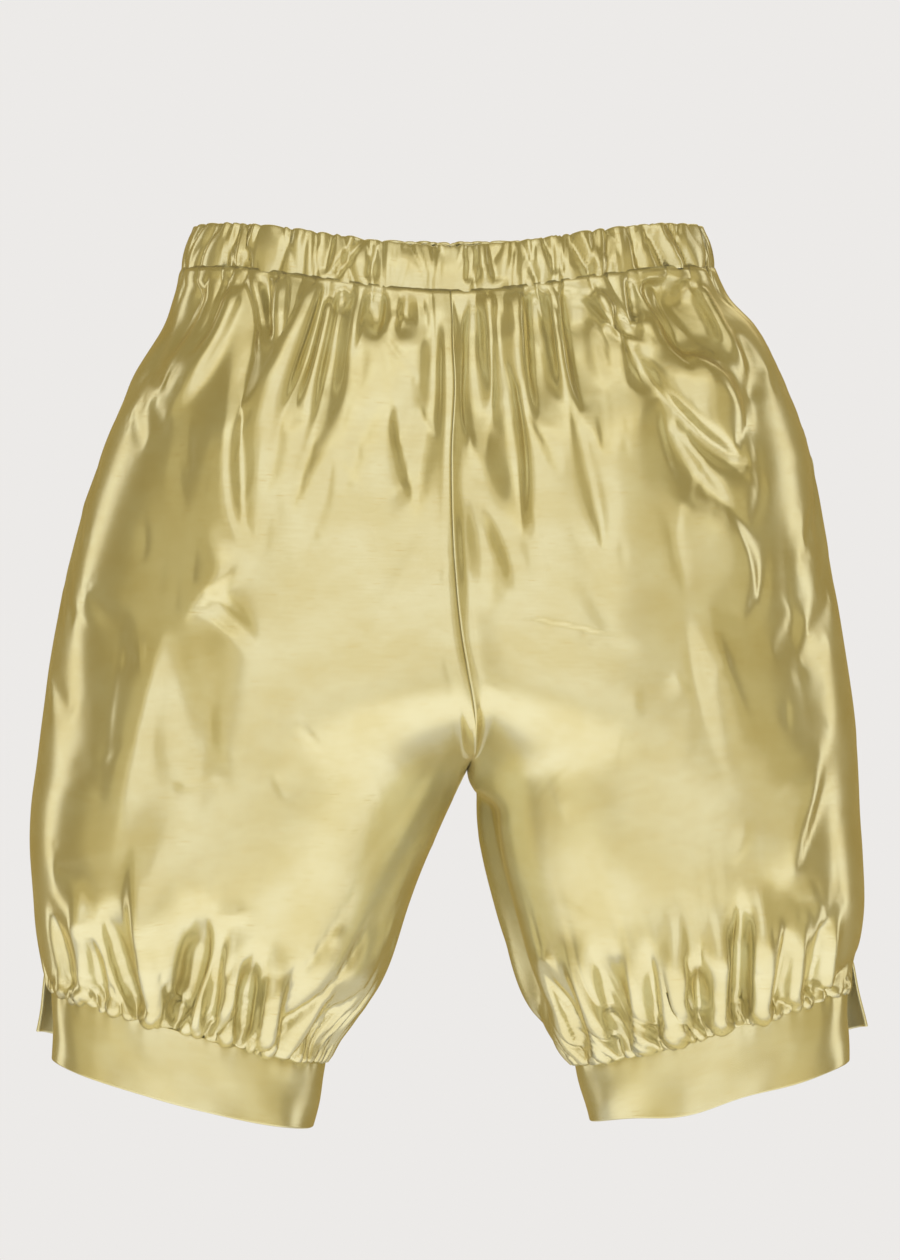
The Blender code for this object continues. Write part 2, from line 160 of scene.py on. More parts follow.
@dataclass(frozen=True)
class Form:
    """The filled-out form of the breeches, which the solids share."""

    crotch: float = 9.0
    band_seam: float = 15.0
    slit_start: float = 12.0
    back_rise_start: float = 9.0
    front_lap: float = 9.0
    back_lap: float = 15.0
    back_rise: float = 9.5
    back_out: float = 4.5
    front_drop: float = 1.6

    def level(self, place: float) -> Level:
        """Finds the level at a fractional place, on a smooth curve through the table.

        Args:
            place: 0 at the waist seam and 15 at the knee band seam.

        Returns:
            The level there.
        """
        rows = np.array([list(vars(row).values()) for row in LEVELS], float)
        place = min(max(place, 0.0), len(rows) - 1.0)
        first = min(int(place), len(rows) - 2)
        near = [rows[min(max(first + k, 0), len(rows) - 1)] for k in (-1, 0, 1, 2)]
        return Level(*curve_at(near, place - first))

    def section(self, side: Side, face: Face, place: float, across: Array) -> Array:
        """Finds points of a smooth section, spaced by length from side seam to inner seam.

        Args:
            side: The wearer's side.
            face: Front or back.
            place: The level, 0 to 15.
            across: Shares of the section's length, 0 at the side seam.

        Returns:
            An array of points in millimetres.
        """
        level, is_front = self.level(place), face is Face.FRONT
        side_x = side.value * (level.right_side if side is Side.RIGHT else level.left_side)
        inner_x = level.right_inner if side is Side.RIGHT else level.left_inner
        if place <= self.crotch:
            inner_x = (level.right_inner + level.left_inner) / 2
        depth = level.front if is_front else level.back
        turn = level.front_turn if is_front else level.back_turn
        inner_z = level.front_z if is_front else level.back_z
        opening = smooth((place - self.slit_start) / (self.band_seam - self.slit_start))
        lap = (self.front_lap if is_front else self.back_lap) * opening
        side_z = level.side_z
        if not is_front:
            risen = (place - self.back_rise_start) / (self.band_seam - self.back_rise_start)
            side_z += self.back_rise * smooth(risen)
            side_x += side.value * self.back_out * opening
        angle = np.linspace(0.0, min(turn, 1.0) * np.pi, 241)
        over = np.sign(np.cos(angle)) * np.abs(np.cos(angle)) ** (2.0 / level.square)
        out = np.abs(np.sin(angle)) ** (2.0 / level.square)
        share = (1.0 - over) / (1.0 - over[-1])
        fall = share + (smooth(share) - share) * np.clip(2.0 - 2.0 * turn, 0.0, 1.0)
        x = side_x + (inner_x - side_x) * share
        y = face.value * (depth * out + lap * (1.0 - share) ** 4) + level.inseam_y * share**2
        z = side_z + (inner_z - side_z) * fall
        if is_front:
            z = z - self.front_drop * opening * out
        points = np.stack([x, y, z], axis=1)
        steps = np.linalg.norm(np.diff(points, axis=0), axis=1)
        run = np.concatenate([[0.0], np.cumsum(steps)])
        wanted = np.asarray(across, float) * run[-1]
        return np.stack([np.interp(wanted, run, points[:, k]) for k in range(3)], axis=1)

    def grid(self, side: Side, face: Face, places: Array, across: Array) -> Array:
        """Stacks the sections at some places, with the same shares across, into rows of points."""
        return np.stack([self.section(side, face, place, across) for place in places])


FORM = Form()


def normals_of(grid: Array, sign: float) -> Array:
    """Finds unit normals of rows of points, outwards with the right sign, 1 or -1."""
    normal = np.cross(np.gradient(grid, axis=1), np.gradient(grid, axis=0)) * sign
    return normal / np.maximum(np.linalg.norm(normal, axis=2, keepdims=True), 1e-9)


def resample(grid: Array, rows: int, columns: int) -> Array:
    """Reads a grid at more places, on smooth curves through its points.

    Args:
        grid: Rows of points.
        rows: How many steps down the finer grid has.
        columns: How many steps across it has.

    Returns:
        The finer grid, with the same edges.
    """
    for axis, count in ((0, rows), (1, columns)):
        lines = np.moveaxis(grid, axis, 0)
        last = len(lines) - 1
        place = np.linspace(0.0, last, count + 1)
        first = np.minimum(place.astype(int), last - 1)
        part = (place - first).reshape(-1, *[1] * (grid.ndim - 1))
        padded = np.concatenate([2 * lines[:1] - lines[1:2], lines, 2 * lines[-1:] - lines[-2:-1]])
        lines = curve_at([padded[first + k] for k in range(4)], part)
        grid = np.moveaxis(lines, 0, axis)
    return grid


def cloth_mesh(name: str, grid: Array, cut: Array, outward: float) -> Thing:
    """Builds a mesh object from a grid of points, with the flat cut as its UV map.

    Args:
        name: The object's name.
        grid: Rows of points in millimetres.
        cut: Rows of flat positions in millimetres.
        outward: The sign that turns the faces out of the garment.

    Returns:
        The new object, at the origin.
    """
    rows, columns = grid.shape[:2]
    index = np.arange(rows * columns).reshape(rows, columns)
    corners = [index[:-1, :-1], index[:-1, 1:], index[1:, 1:], index[1:, :-1]]
    faces = np.stack([corner.ravel() for corner in corners], axis=1)
    if outward < 0:
        faces = faces[:, ::-1]
    mesh = bpy.data.meshes.new(name)
    mesh.from_pydata((grid.reshape(-1, 3) * MM).tolist(), [], faces.tolist())
    flat = cut.reshape(-1, 2)[faces.ravel()] * MM * 10.0
    mesh.uv_layers.new(name="cut").data.foreach_set("uv", flat.ravel())
    mesh.shade_smooth()
    thing = bpy.data.objects.new(name, mesh)
    bpy.context.scene.collection.objects.link(thing)
    return thing


def thicken(thing: Thing, thickness: float) -> None:
    """Gives a sheet its thickness in millimetres, inwards."""
    wall = thing.modifiers.new("Cloth", "SOLIDIFY")
    wall.thickness, wall.offset = thickness * MM, -1.0


@dataclass(frozen=True)
class Fold:
    """A listed fold, laid in as seen from the front, from its root to its tip.

    It has a half width and a height, above 0 for a ridge and below 0 for a valley. It bows
    sideways, widens towards its tip by spread, and fades over a share of its length at each
    end: a gather starts at full height at a seam and fades out slowly. One flank is steeper.
    """

    x: float
    z: float
    tip_x: float
    tip_z: float
    width: float
    height: float
    bow: float = 0.0
    spread: float = 1.4
    root_fade: float = 0.15
    tip_fade: float = 0.6

    def lift(self, points: Array) -> Array:
        """Works out how far the fold lifts each point.

        Args:
            points: Points in millimetres.

        Returns:
            Heights in millimetres.
        """
        start = np.array([self.x, self.z], float)
        run = np.array([self.tip_x, self.tip_z], float) - start
        length = float(np.linalg.norm(run))
        run = run / length
        seen = points[..., [0, 2]] - start
        along = seen @ run / length
        off = seen @ np.array([-run[1], run[0]]) - self.bow * (1.0 - (2.0 * along - 1.0) ** 2)
        flank = 1.0 + (0.55 if round(self.x) % 2 else -0.55) * np.sign(off)
        width = self.width * flank * (1.0 + (self.spread - 1.0) * np.clip(along, 0.0, 1.0))
        ends = smooth((along + 0.1) / self.root_fade) * smooth((1.1 - along) / self.tip_fade)
        return self.height * ends * np.exp(1.0 - np.sqrt(1.0 + (2.0 * off / width) ** 2))


RIGHT_FRONT_FOLDS = (
    Fold(-55, -18, -102, -92, 16, 4, 5, 1.6),
    Fold(-92, -24, -128, -84, 9, 3, 3),
    Fold(-108, -20, -130, -60, 6, -3, 2),
    Fold(-96, -16, -112, -52, 5, -3.5, 2),
    Fold(-78, -14, -75, -44, 5, -5.5, 0, 1, 0.1, 0.4),
    Fold(-85, -16, -80, -50, 5, 3, 2),
    Fold(-70, -16, -73, -48, 5, 3),
    Fold(-53, -20, -72, -78, 7, -6, 2),
    Fold(-51, -28, -63, -74, 5, 4, 1),
    Fold(-45, -20, -57, -84, 7, -5.5),
    Fold(-36, -20, -42, -50, 5, 3),
    Fold(-28, -22, -31, -44, 5, -4),
    Fold(-17, -24, -21, -44, 5, -3),
    Fold(-23, -58, -7, -128, 11, -3.2, -3, 1.3, 0.5),
    Fold(-4, -36, -5, -92, 5, -3, 0, 1, 0.4),
    Fold(-92, -66, -88, -140, 14, 3.5, -5, 1.2, 0.5),
    Fold(-88, -136, -118, -168, 12, 3, 0, 1, 0.4),
    Fold(-116, -146, -80, -176, 9, -2, 3, 1.2, 0.7),
    Fold(-112, -156, -76, -188, 9, 1.6, 3, 1.2, 0.7),
    Fold(-122, -168, -144, -262, 13, 3.5, 0, 1, 0.5),
    Fold(-140, -156, -152, -258, 14, -2.2, 0, 1.2, 0.6),
    Fold(-98, -184, -112, -266, 20, -2.2, 0, 1, 0.5),
    Fold(-4, -222, -42, -274, 10, -2, 3, 1.3, 0.4),
    Fold(-164, -326, -172, -286, 5, -4),
    Fold(-157, -328, -160, -276, 7, 4.5),
    Fold(-149, -331, -156, -298, 5, -4.5),
    Fold(-136, -335, -148, -286, 6, -5.5, 2),
    Fold(-128, -338, -134, -262, 8, 5, 2),
    Fold(-119, -341, -105, -286, 6, -7, -5),
    Fold(-110, -343, -104, -300, 5, 4),
    Fold(-103, -345, -97, -296, 7, -6.5),
    Fold(-95, -347, -90, -300, 5, 4),
    Fold(-89, -349, -83, -308, 5, -5.5),
    Fold(-80, -351, -74, -306, 6, 4),
    Fold(-74, -353, -67, -316, 5, -4.5),
    Fold(-62, -356, -44, -322, 6, -4.5),
)
LEFT_FRONT_FOLDS = (
    Fold(11, -26, 10, -96, 7, -6, 0, 1.2, 0.3),
    Fold(18, -24, 20, -80, 6, 3.5),
    Fold(24, -52, 31, -134, 8, -6, 2, 1.4, 0.4),
    Fold(6, -112, 30, -158, 20, -4, 0, 1.2, 0.5),
    Fold(30, -22, 32, -60, 5, 3),
    Fold(37, -20, 41, -84, 7, -6),
    Fold(45, -20, 50, -70, 5, 3.5),
    Fold(51, -18, 60, -78, 7, -6),
    Fold(60, -28, 98, -78, 8, -4.5, 3, 1.3),
    Fold(66, -24, 84, -60, 6, 4),
    Fold(92, -76, 140, -136, 10, -3.6, -3, 1.4, 0.4, 0.8),
    Fold(70, -32, 88, -40, 5, -3.5, 0, 1, 0.4),
    Fold(79, -16, 82, -36, 4, -4.5, 0, 1, 0.1, 0.4),
    Fold(89, -18, 106, -62, 10, -7, 3, 1.2),
    Fold(98, -46, 130, -86, 14, 6.5, 3, 1.2, 0.4),
    Fold(94, -66, 136, -100, 8, -5.5, -4, 1.2, 0.4),
    Fold(106, -18, 122, -50, 6, -4.5),
    Fold(112, -20, 132, -60, 5, 3),
    Fold(58, -92, 66, -156, 15, -2.2, 3, 1.2, 0.5),
    Fold(114, -108, 134, -166, 14, 2.8, 3, 1, 0.5),
    Fold(144, -126, 156, -214, 13, -2.6, 0, 1.2, 0.6),
    Fold(112, -158, 136, -222, 10, 2, -3, 1, 0.5),
    Fold(100, -156, 120, -240, 15, -2.6, -2, 1, 0.5),
    Fold(32, -166, 80, -176, 9, -1.5, 0, 1, 0.4),
    Fold(162, -216, 144, -286, 11, 3, 0, 1, 0.5),
    Fold(60, -356, 42, -318, 6, -5),
    Fold(66, -355, 52, -306, 6, 3.5),
    Fold(74, -352, 64, -306, 6, -5.5),
    Fold(84, -350, 78, -300, 7, 4.5),
    Fold(93, -347, 88, -304, 5, -5),
    Fold(101, -345, 100, -290, 7, 4),
    Fold(110, -342, 108, -312, 5, -5),
    Fold(119, -340, 119, -290, 6, 4.5),
    Fold(126, -338, 126, -284, 5, -6.5, 0, 1),
    Fold(134, -336, 135, -280, 7, 5),
    Fold(142, -333, 146, -292, 6, -5),
    Fold(151, -330, 154, -290, 6, 4),
    Fold(158, -328, 164, -290, 5, -5),
    Fold(167, -325, 170, -290, 5, 3),
)
CASING_CREASES = (
    Fold(-93, 10, -98, -12, 3.2, -2.2, 0, 1, 0.2, 0.2),
    Fold(-89, 10, -90, -12, 2.6, -1.8, 0, 1, 0.2, 0.2),
    Fold(-84, 9, -92, -11, 4, 1.6, 0, 1, 0.2, 0.3),
    Fold(-62, 9, -66, -4, 5, 1, 0, 1, 0.2, 0.5),
    Fold(-50, 7, -53, -14, 3, -2.2, 0, 1, 0.2, 0.2),
    Fold(-34, 4, -48, -16, 3, -2.2, 0, 1, 0.2, 0.2),
    Fold(-38, 4, -52, -15, 3.6, 1.6, 0, 1, 0.2, 0.3),
    Fold(-29, 3, -34, -16, 2.8, -1.8, 0, 1, 0.2, 0.2),
    Fold(-19, 3, -19, -7, 2.6, -1.5, 0, 1, 0.2, 0.6),
    Fold(-10, 3, -1, -8, 2.6, -1.8, 0, 1, 0.2, 0.6),
    Fold(9, 2, 9, -18, 2.8, -2, 0, 1, 0.2, 0.2),
    Fold(17, 3, 21, -18, 3.2, -2.2, 0, 1, 0.2, 0.2),
    Fold(13, 3, 16, -18, 3.2, 1.4, 0, 1, 0.2, 0.2),
    Fold(32, 4, 38, -16, 2.8, -1.8, 0, 1, 0.2, 0.2),
    Fold(41, 4, 47, -14, 2.8, -2, 0, 1, 0.2, 0.2),
    Fold(52, 5, 63, -15, 3, -2.2, 0, 1, 0.2, 0.2),
    Fold(57, 6, 67, -14, 3.6, 1.6, 0, 1, 0.2, 0.3),
    Fold(72, 6, 72, -6, 4, -1.2, 0, 1, 0.2, 0.5),
    Fold(81, 7, 84, -12, 2.6, -2, 0, 1, 0.2, 0.2),
    Fold(88, 9, 98, -14, 3, -2.4, 0, 1, 0.2, 0.2),
    Fold(93, 9, 103, -13, 3.6, 1.8, 0, 1, 0.2, 0.3),
    Fold(100, 9, 108, -12, 2.8, -2.2, 0, 1, 0.2, 0.2),
)
BACK_FOLDS = (
    Fold(-100, -10, -134, -92, 9, -4.5, 3),
    Fold(-82, -12, -106, -100, 8, 4.5, 3),
    Fold(-60, -14, -72, -86, 7, -6),
    Fold(-36, -14, -38, -96, 8, 4.5),
    Fold(-16, -14, -18, -84, 6, -5),
    Fold(20, -14, 24, -88, 6, -5),
    Fold(42, -14, 56, -92, 8, 4.5),
    Fold(70, -12, 92, -80, 7, -6),
    Fold(96, -10, 132, -92, 9, 4.5, -3),
    Fold(-128, -140, -66, -192, 15, -2.6, 4, 1, 0.6),
    Fold(126, -136, 62, -196, 15, -2.4, -4, 1, 0.6),
    Fold(-142, -180, -150, -262, 12, 4, 0, 1, 0.5),
    Fold(140, -184, 150, -266, 12, 4, 0, 1, 0.5),
    Fold(-96, -196, -104, -262, 12, -3.5, 0, 1, 0.5),
    Fold(100, -192, 96, -258, 12, -3.5, 0, 1, 0.5),
    Fold(-158, -322, -160, -272, 6, -5),
    Fold(-148, -326, -146, -262, 8, 5),
    Fold(-134, -331, -130, -276, 6, -6, 2),
    Fold(-118, -336, -108, -272, 7, -5.5, 2),
    Fold(-104, -340, -98, -292, 6, 4.5),
    Fold(-92, -344, -84, -296, 6, -5.5),
    Fold(-74, -350, -62, -304, 6, -5),
    Fold(64, -353, 50, -310, 6, -5),
    Fold(80, -349, 70, -298, 7, 4.5),
    Fold(92, -345, 86, -296, 6, -5.5),
    Fold(112, -338, 110, -276, 7, -5.5),
    Fold(124, -334, 124, -268, 8, 5),
    Fold(138, -330, 138, -280, 6, -5.5),
    Fold(156, -324, 158, -276, 6, -5),
)
SHARP_CREASES = (
    Fold(30, -165, 80, -175, 2.6, -1.1, 1, 0.8, 0.3),
    Fold(31, -168, 70, -176, 2.6, 0.9, 1, 0.8, 0.3),
    Fold(-116, -152, -82, -178, 3.4, -0.8, 1, 0.8, 0.8),
    Fold(-114, -156, -84, -180, 3.4, 0.7, 1, 0.8, 0.8),
    Fold(-24, -33, -14, -39, 2.5, 1.4, 1, 0.8, 0.3),
    Fold(70, -36, 87, -43, 2.6, -1.6, 0, 0.8, 0.3),
    Fold(71, -39, 86, -46, 2.6, 1.2, 0, 0.8, 0.3),
    Fold(-116, -236, -97, -233, 2.6, 1, 0, 0.8, 0.3),
    Fold(-64, -206, -54, -220, 3, 0.5, 0, 0.8, 0.3),
    Fold(-99, -295, -84, -292, 4, 1, 1, 0.8, 0.5),
    Fold(40, -310, 47, -314, 2.6, 1.2, 0, 0.8, 0.3),
)


@dataclass(frozen=True)
class Gathers:
    """Gathers along a seam: broad crests between narrow creases, all uneven.

    depth is in millimetres. Each gather has its own width, strength, reach and lean.
    """

    count: int
    depth: float
    reach: float
    seed: int
    spread: float = 0.6

    def lanes(self, low: float, high: float, salt: int) -> Array:
        """Draws a number from low to high for each crease; salt keeps the draws apart."""
        return np.random.default_rng(self.seed * 97 + salt).uniform(low, high, self.count + 1)

    def height(self, across: Array, away: Array | float, lean: float) -> Array:
        """Works out the height of the gathers.

        Args:
            across: Places along the seam, from 0 to 1.
            away: Distance from the seam in millimetres.
            lean: How many gathers the most slanted crease drifts sideways by the end of its reach.

        Returns:
            Heights in millimetres, below 0 in the creases.
        """
        widths = self.lanes(1.0 - self.spread, 1.0 + self.spread, 1)[1:]
        creases = np.concatenate([[0.0], np.cumsum(widths) / widths.sum()])
        numbers = np.arange(self.count + 1.0)
        number = np.interp(across, creases, numbers)
        away = np.asarray(away, float)
        drift = np.interp(number, numbers, self.lanes(-lean, lean, 2))
        number = np.clip(number + drift * away / self.reach, 0.0, self.count)
        strength = np.interp(number, numbers, self.lanes(0.35, 1.0, 3))
        reach = self.reach * np.interp(number, numbers, self.lanes(0.5, 1.5, 4))
        crest = np.abs(np.sin(np.pi * number)) ** 0.5
        return self.depth * strength * (1.6 * crest - 0.95) * np.exp(-((away / reach) ** 1.5))


@dataclass(frozen=True)
class Draping:
    """How the crisp silk behaves while it is draped."""

    scale: float = 10.0
    frames: int = 30
    mass: float = 0.15
    stretch: float = 80.0
    shear: float = 20.0
    bending: float = 1.2
    pressure: float = 0.3
    gravity: float = 0.2
    inner_hold: float = 0.02


@dataclass
class Panel:
    """A front or back: shaped on the form, then draped from its flat cut."""

    side: Side
    face: Face
    seed: int
    draping: Draping = Draping()
    columns: int = 84
    rows: int = 132
    fine_columns: int = 208
    fine_rows: int = 190
    cut_places: tuple[float, ...] = (0, 3, 6, 9, 12, 15)
    cut_widths: tuple[float, ...] = (186, 204, 236, 296, 292, 275)
    spare_length: float = 1.035
    laid_width: float = 180.0
    width: float = 190.0
    crotch_height: float = -238.0
    strip: float = 12.0
    strip_top: float = -232.0
    strip_bottom: float = -356.0
    seam_dip: float = 0.35
    thickness: float = 0.5
    grid: Array = field(default_factory=lambda: np.zeros((2, 2, 3)))
    cut: Array = field(default_factory=lambda: np.zeros((2, 2, 2)))
    down: Array = field(default_factory=lambda: np.zeros(2))

    @property
    def name(self) -> str:
        """The node that this panel replaces."""
        return f"{self.face.name.lower()}_{self.side.name.lower()}"

    @property
    def sign(self) -> float:
        """The sign that turns normals out of the garment."""
        return -float(self.side.value * self.face.value)

    @property
    def folds(self) -> tuple[Fold, ...]:
        """The larger folds, listed one by one."""
        if self.face is Face.BACK:
            return BACK_FOLDS
        return RIGHT_FRONT_FOLDS if self.side is Side.RIGHT else LEFT_FRONT_FOLDS

    @property
    def waist(self) -> Gathers:
        """The fine gathers of its waist seam, which run on into the casing."""
        return Gathers(14, 1.5, 11.0, self.seed)

    @property
    def frill(self) -> Gathers:
        """The ruffled top edge of the casing above this panel."""
        return Gathers(21, 1.3, 13.0, self.seed + 23, 0.8)

    @property
    def band(self) -> Gathers:
        """The fine gathers of its knee band seam."""
        return Gathers(30, 2.6, 11.0, self.seed + 40, 0.75)

    def lay_out(self) -> None:
        """Shapes the panel on the form and works out its flat cut."""
        fine = np.linspace(0.0, FORM.band_seam, 301)
        middle = np.stack([FORM.section(self.side, self.face, p, [0.5])[0] for p in fine])
        run = np.concatenate([[0.0], np.cumsum(np.linalg.norm(np.diff(middle, axis=0), axis=1))])
        self.down = np.linspace(0.0, run[-1], self.rows + 1)
        places = np.interp(self.down, run, fine)
        across = np.linspace(0.0, 1.0, self.columns + 1)
        base = FORM.grid(self.side, self.face, places, across)
        height = sum(fold.lift(base) for fold in self.folds)
        top, bottom = self.down[:, None], (run[-1] - self.down)[:, None]
        height = height * smooth(top / 12.0) * smooth(bottom / 8.0)
        height = height + self.buckling(across[None, :], top, bottom)
        edge = np.minimum(across, 1.0 - across) * self.laid_width
        height = height * smooth(edge / 12.0)
        self.grid = base + normals_of(base, self.sign) * height[..., None]
        width = np.interp(places, self.cut_places, self.cut_widths)[:, None]
        flat_x = (across - 0.5) * width
        flat_y = np.broadcast_to(-self.down[:, None] * self.spare_length, flat_x.shape)
        self.cut = np.stack([flat_x, flat_y], axis=2)

    def buckling(self, across: Array, top: Array, bottom: Array) -> Array:
        """Works out the larger waves that spread from both gathered seams.

        Args:
            across: Shares of the width.
            top: Distance of each row from the waist seam.
            bottom: Distance of each row from the knee band seam.

        Returns:
            Rows of heights.
        """
        from_waist = Gathers(9, 1.6, 30.0, self.seed + 7).height(across, top, 0.7)
        from_band = Gathers(12, 4.4, 34.0, self.seed + 11, 0.85).height(across, bottom, 1.2)
        return from_waist * smooth(top / 9.0) + from_band * smooth(bottom / 8.0)

    def start_draping(self) -> Thing:
        """Makes the cloth that will be simulated, larger than life.

        Returns:
            The cloth object.
        """
        scale = self.draping.scale
        cloth = cloth_mesh(self.name + "_cloth", self.grid * scale, self.cut, self.sign)
        cloth.shape_key_add(name="Basis")
        key = cloth.shape_key_add(name="flat cut")
        flat = np.stack([self.cut[..., 0], np.zeros(self.cut.shape[:2]), self.cut[..., 1]], axis=2)
        key.data.foreach_set("co", (flat * scale * MM).ravel())
        key.value = 0.0
        index = np.arange((self.rows + 1) * (self.columns + 1)).reshape(self.rows + 1, -1)
        held = cloth.vertex_groups.new(name="held")
        held.add(index[1:-1, 1:-1].ravel().tolist(), self.draping.inner_hold, "REPLACE")
        edge = np.concatenate([index[0], index[-1], index[1:-1, 0], index[1:-1, -1]])
        held.add(edge.tolist(), 1.0, "REPLACE")
        drape_modifier = cloth.modifiers.new("Drape", "CLOTH")
        drape_modifier.collision_settings.use_collision = False
        settings = drape_modifier.settings
        settings.rest_shape_key = key
        settings.vertex_group_mass = "held"
        settings.pin_stiffness = 1.0
        settings.quality = 6
        settings.mass = self.draping.mass
        settings.tension_stiffness = settings.compression_stiffness = self.draping.stretch
        settings.shear_stiffness = self.draping.shear
        settings.bending_model = "ANGULAR"
        settings.bending_stiffness = self.draping.bending
        settings.air_damping = 2.0
        settings.effector_weights.gravity = self.draping.gravity
        settings.use_pressure = True
        settings.uniform_pressure_force = self.draping.pressure
        return cloth

    def end_draping(self, cloth: Thing) -> None:
        """Reads the draped cloth back and removes it.

        Args:
            cloth: The simulated cloth.
        """
        seen = cloth.evaluated_get(bpy.context.evaluated_depsgraph_get())
        mesh = seen.to_mesh()
        points = np.zeros(len(mesh.vertices) * 3)
        mesh.vertices.foreach_get("co", points)
        seen.to_mesh_clear()
        draped = self.ease_crotch(points.reshape(self.grid.shape) / (self.draping.scale * MM))
        moved = np.linalg.norm(draped - self.grid, axis=2)
        log.info("%s draped, moved %.1f mm, at most %.1f", self.name, moved.mean(), moved.max())
        self.grid = draped
        old = cloth.data
        bpy.data.objects.remove(cloth)
        bpy.data.meshes.remove(old)

    def ease_crotch(self, grid: Array) -> Array:
        """Lets the draped cloth run smoothly past the crotch, where its form turns sharply.

        Args:
            grid: Rows of points.

        Returns:
            The eased rows, with the same edges.
        """
        height = grid[..., 2].mean(axis=1)[:, None]
        across = np.linspace(0.0, 1.0, grid.shape[1])[None, :]
        share = bell(height - self.crotch_height, 34.0) * smooth((across - 0.25) / 0.3)
        share = share * smooth((1.0 - across) / 0.03)
        eased = grid.copy()
        for _ in range(60):
            middle = (eased[:-2] + eased[2:]) / 2
            eased[1:-1] += 0.8 * share[1:-1, :, None] * (middle - eased[1:-1])
        return eased

    def turn_inner_edge(self, grid: Array) -> Array:
        """Sets the wearer's left inside leg seam forward, so that a strip of the back shows.

        Args:
            grid: Rows of points.

        Returns:
            The rows with their inner edge moved.
        """
        if self.side is Side.RIGHT:
            return grid
        from_seam = (1.0 - np.linspace(0.0, 1.0, grid.shape[1]))[None, :] * self.width
        height = grid[:, -1:, 2]
        below = smooth((self.strip_top - height) / 16.0)
        amount = self.strip * below * smooth((height - self.strip_bottom) / 24.0)
        reach = 46.0 if self.face is Face.FRONT else 15.0
        near = 1.0 - smooth(from_seam / reach)
        moved = grid.copy()
        moved[..., 0] += amount * near
        moved[..., 1] -= 0.35 * amount * near
        return moved

    def pucker(self, grid: Array) -> Array:
        """Adds the fine gathers and the sewn edges to the draped panel.

        Args:
            grid: Rows of points of the draped panel.

        Returns:
            The finished rows.
        """
        across = np.linspace(0.0, 1.0, grid.shape[1])[None, :]
        down = np.linspace(0.0, self.down[-1], grid.shape[0])[:, None]
        bottom = self.down[-1] - down
        fine = self.waist.height(across, down, 0.5) * smooth(down / 1.5 + 0.25)
        loops = self.band.height(across, bottom, 0.8)
        fine = fine + loops * smooth(bottom / 1.2) + 1.2 * bell(bottom - 4.0, 4.0)
        fine = fine + 0.6 * sum(fold.lift(grid) for fold in self.folds) * smooth(down / 6.0)
        edge = np.minimum(across, 1.0 - across) * self.width
        fine = fine * smooth(edge / 5.0) - self.seam_dip * np.exp(-edge / 1.3)
        if self.face is Face.FRONT:
            seam = (1.0 - across) * self.width
            welt = 0.4 * bell(seam - 3.0, 2.4)
            valley = -2.1 * seam / 5.0 * np.exp(1.0 - seam / 5.0)
            rise = smooth(down / 12.0) * smooth((246.0 - down) / 30.0)
            fine = fine + (welt if self.side is Side.RIGHT else valley) * rise
            fine = fine + sum(crease.lift(grid) for crease in SHARP_CREASES)
        fine = fine + self.crinkles(grid)
        tuck = np.exp(-down / 0.9)
        out = normals_of(grid, self.sign)
        grid = grid + out * (fine - 0.15 * tuck)[..., None]
        grid[..., 2] += 1.2 * tuck - (0.9 + 0.5 * loops) * np.exp(-((bottom - 1.5) / 2.5) ** 2)
        return grid

    def crinkles(self, grid: Array) -> Array:
        """Works out small soft creases scattered over the crisp silk.

        Args:
            grid: Rows of points.

        Returns:
            Rows of heights.
        """
        rng = np.random.default_rng(self.seed + 90)
        low, high = grid.reshape(-1, 3).min(axis=0), grid.reshape(-1, 3).max(axis=0)
        height = np.zeros(grid.shape[:2])
        for _ in range(34):
            x, z = rng.uniform(low[0], high[0]), rng.uniform(low[2] + 10, high[2] - 10)
            length, turn = rng.uniform(8, 34), rng.uniform(0.5, 2.6)
            tip = (x + length * math.cos(turn), z + length * math.sin(turn))
            width, rise = rng.uniform(2.5, 6.0), rng.uniform(0.25, 0.7) * rng.choice([-1, 1])
            height += Fold(x, z, *tip, width, rise, rng.uniform(-2, 2), 1.0, 0.5).lift(grid)
        return height

    def build(self) -> Thing:
        """Refines the draped panel into the finished piece.

        Returns:
            The panel.
        """
        grid = resample(self.turn_inner_edge(self.grid), self.fine_rows, self.fine_columns)
        cut = resample(self.cut, self.fine_rows, self.fine_columns)
        piece = cloth_mesh(self.name + "_silk", self.pucker(grid), cut, -self.sign)
        thicken(piece, self.thickness)
        return piece


def drape(panels: list[Panel]) -> None:
    """Simulates all the panels side by side.

    Args:
        panels: The panels, laid out.
    """
    cloths = [panel.start_draping() for panel in panels]
    for step in range(1, panels[0].draping.frames + 1):
        bpy.context.scene.frame_set(step)
    for panel, cloth in zip(panels, cloths):
        panel.end_draping(cloth)
    bpy.context.scene.frame_set(1)


